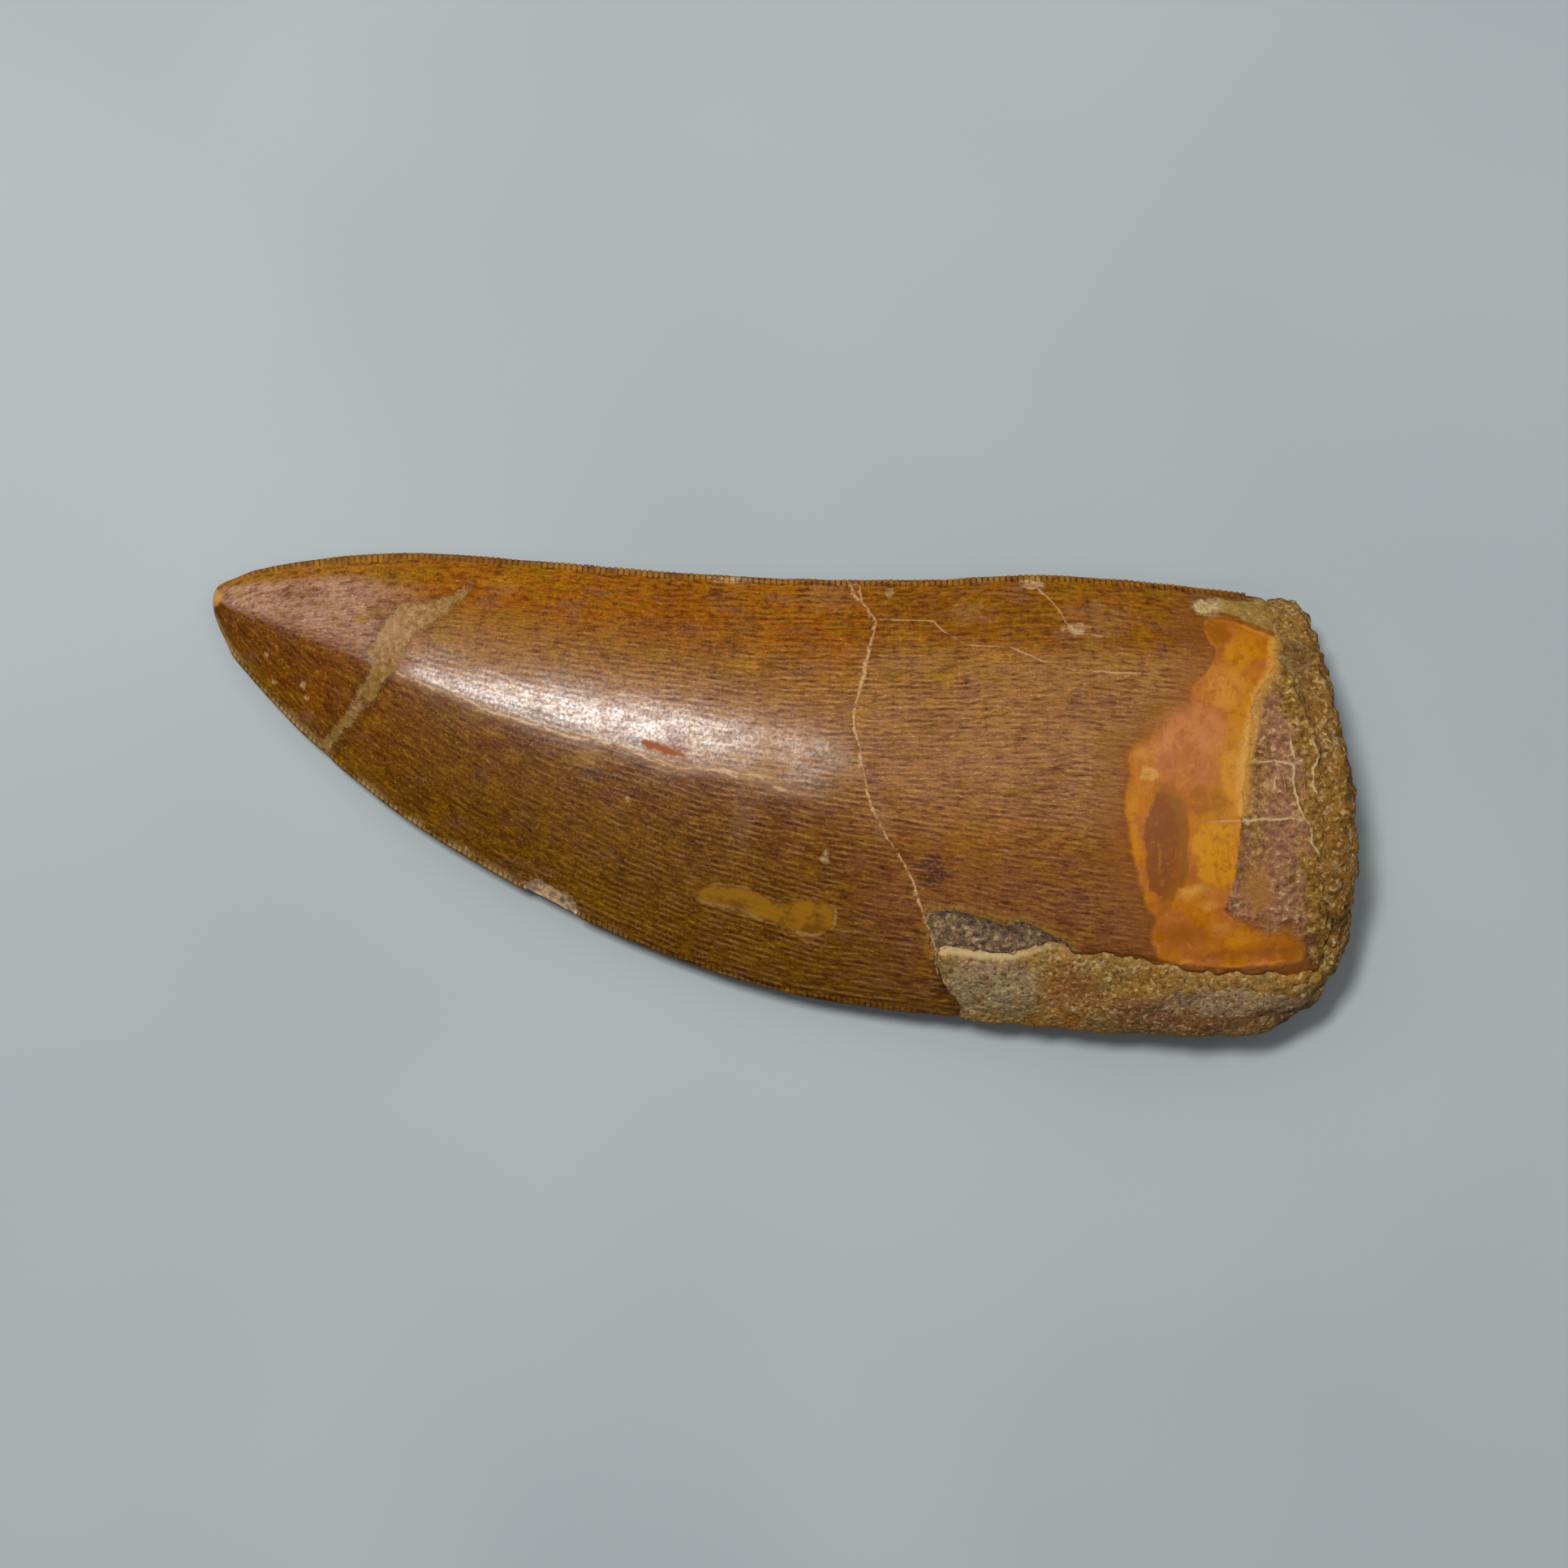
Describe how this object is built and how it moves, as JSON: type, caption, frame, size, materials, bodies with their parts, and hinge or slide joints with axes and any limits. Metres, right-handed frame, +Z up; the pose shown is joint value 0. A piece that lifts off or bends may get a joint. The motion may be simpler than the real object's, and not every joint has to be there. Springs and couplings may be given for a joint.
{
  "type": "fossil dinosaur tooth",
  "caption": "Large blade-like fossil tooth with fine serrations on both cutting edges and sandstone still on its broken base, lying on its flank",
  "frame": {"origin": "centre of the bounding box in plan, on the surface that the tooth lies on", "axes": "+X from the tip towards the broken base, +Y towards the nearly straight rear cutting edge, +Z up out of the flank that shows"},
  "size_m": [0.1256, 0.054, 0.0211],
  "materials": {
    "tooth": "brown striated enamel with a low gloss, amber where it has come away",
    "sandstone": "rough olive and grey-brown sandstone"
  },
  "bodies": {
    "root": {"tooth": "tooth", "sandstone_matrix": "sandstone"}
  },
  "joints": []
}
